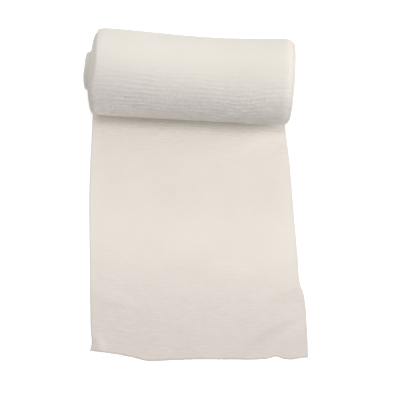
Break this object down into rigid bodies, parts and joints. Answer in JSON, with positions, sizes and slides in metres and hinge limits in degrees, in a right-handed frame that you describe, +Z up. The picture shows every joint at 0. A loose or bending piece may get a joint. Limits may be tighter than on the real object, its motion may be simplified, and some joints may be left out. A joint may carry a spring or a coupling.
{
  "type": "gauze bandage roll",
  "caption": "Opened roll of off-white stretch gauze bandage lying on its side, its loose end drawn out flat from under it.",
  "frame": {"origin": "middle of the flat on which the roll rests, on the surface under it", "axes": "+Z up; X along the roll, with the turns that have slipped out at -X; the loose end runs towards -Y, a little askew to +X"},
  "size_m": [0.1171, 0.1624, 0.0433],
  "materials": {
    "gauze": "matt off-white crimped gauze"
  },
  "bodies": {
    "root": {"wound_roll": "gauze", "loose_end": "gauze"}
  },
  "joints": []
}
